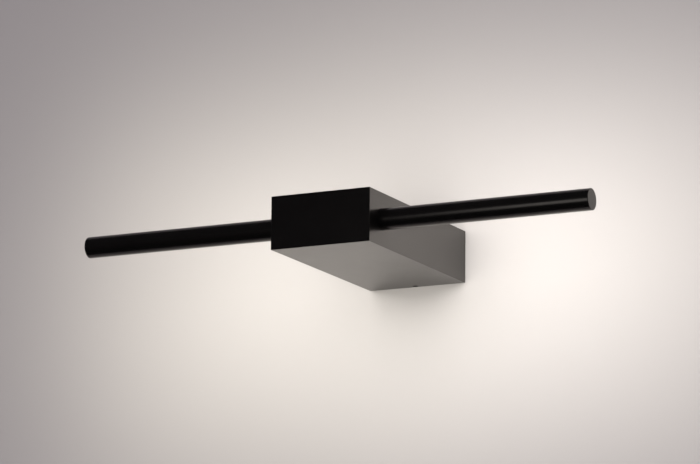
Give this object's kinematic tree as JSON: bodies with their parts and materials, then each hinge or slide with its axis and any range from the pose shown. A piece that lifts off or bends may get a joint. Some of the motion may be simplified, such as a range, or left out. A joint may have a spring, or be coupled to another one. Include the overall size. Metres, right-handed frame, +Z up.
{
  "type": "tube wall light",
  "caption": "Wall light: a slim light tube turns in the nose of a rectangular black arm and washes the wall behind it.",
  "frame": {"origin": "centre of the wall bracket's back face, on the wall", "axes": "+X along the light tube, to the right as seen from the room; +Y into the wall; +Z up"},
  "size_m": [0.512, 0.208, 0.05],
  "materials": {
    "black_coat": "satin fine-texture powder coat",
    "galvanised": "galvanised sheet",
    "zinc_screw": "bright zinc plate",
    "black_screw": "black oxide",
    "spring_steel": "polished spring steel",
    "bare_aluminium": "turned aluminium",
    "nylon": "natural nylon",
    "black_nylon": "black nylon",
    "rubber_black": "matt rubber",
    "driver_case": "fine moulded texture",
    "terminal_body": "satin polyamide",
    "brass": "bright brass",
    "tinned_copper": "tinned copper",
    "lead_brown": "PVC insulation",
    "lead_blue": "PVC insulation",
    "lead_earth": "green and yellow PVC insulation",
    "lead_light": "silicone insulation, red and black",
    "opal": "opal, lit from behind",
    "circuit_strip": "white solder mask",
    "light_chip": "phosphor in a white frame"
  },
  "bodies": {
    "wall_unit": {"wall_bracket": "galvanised", "cable_grommet": "rubber_black", "fixing_screws": "black_screw", "housing_sleeve": "black_coat", "front_cap": "black_coat", "weld_studs": "zinc_screw", "stud_spacers": "nylon", "tray_nuts": "zinc_screw", "chassis_tray": "galvanised", "bush_right": "black_nylon", "bush_left": "black_nylon", "disc_spring": "spring_steel", "stop_peg": "zinc_screw", "led_driver": "driver_case", "driver_covers": "driver_case", "driver_screws": "zinc_screw", "terminal_block": "terminal_body", "block_screws": "zinc_screw", "terminal_barrels": "brass", "terminal_screws": "zinc_screw", "earth_lug": "tinned_copper", "earth_screw": "zinc_screw", "live_lead": "lead_brown", "neutral_lead": "lead_blue", "earth_lead": "lead_earth", "light_leads": "lead_light"},
    "light_tube": {"tube_profile": "black_coat", "spring_collar": "bare_aluminium", "stop_collar": "bare_aluminium", "collar_screws": "black_screw", "diffuser_right": "opal", "diffuser_left": "opal", "led_strip_right": "circuit_strip", "led_strip_left": "circuit_strip", "leds_right": "light_chip", "leds_left": "light_chip", "end_cap_right": "black_coat", "end_cap_left": "black_coat"}
  },
  "joints": [
    {"name": "tube_turn", "type": "hinge", "parent": "wall_unit", "child": "light_tube", "pos_m": [0, -0.181, 0], "axis": [1, 0, 0], "range_deg": [-90, 90], "deforming": ["light_leads"]}
  ]
}
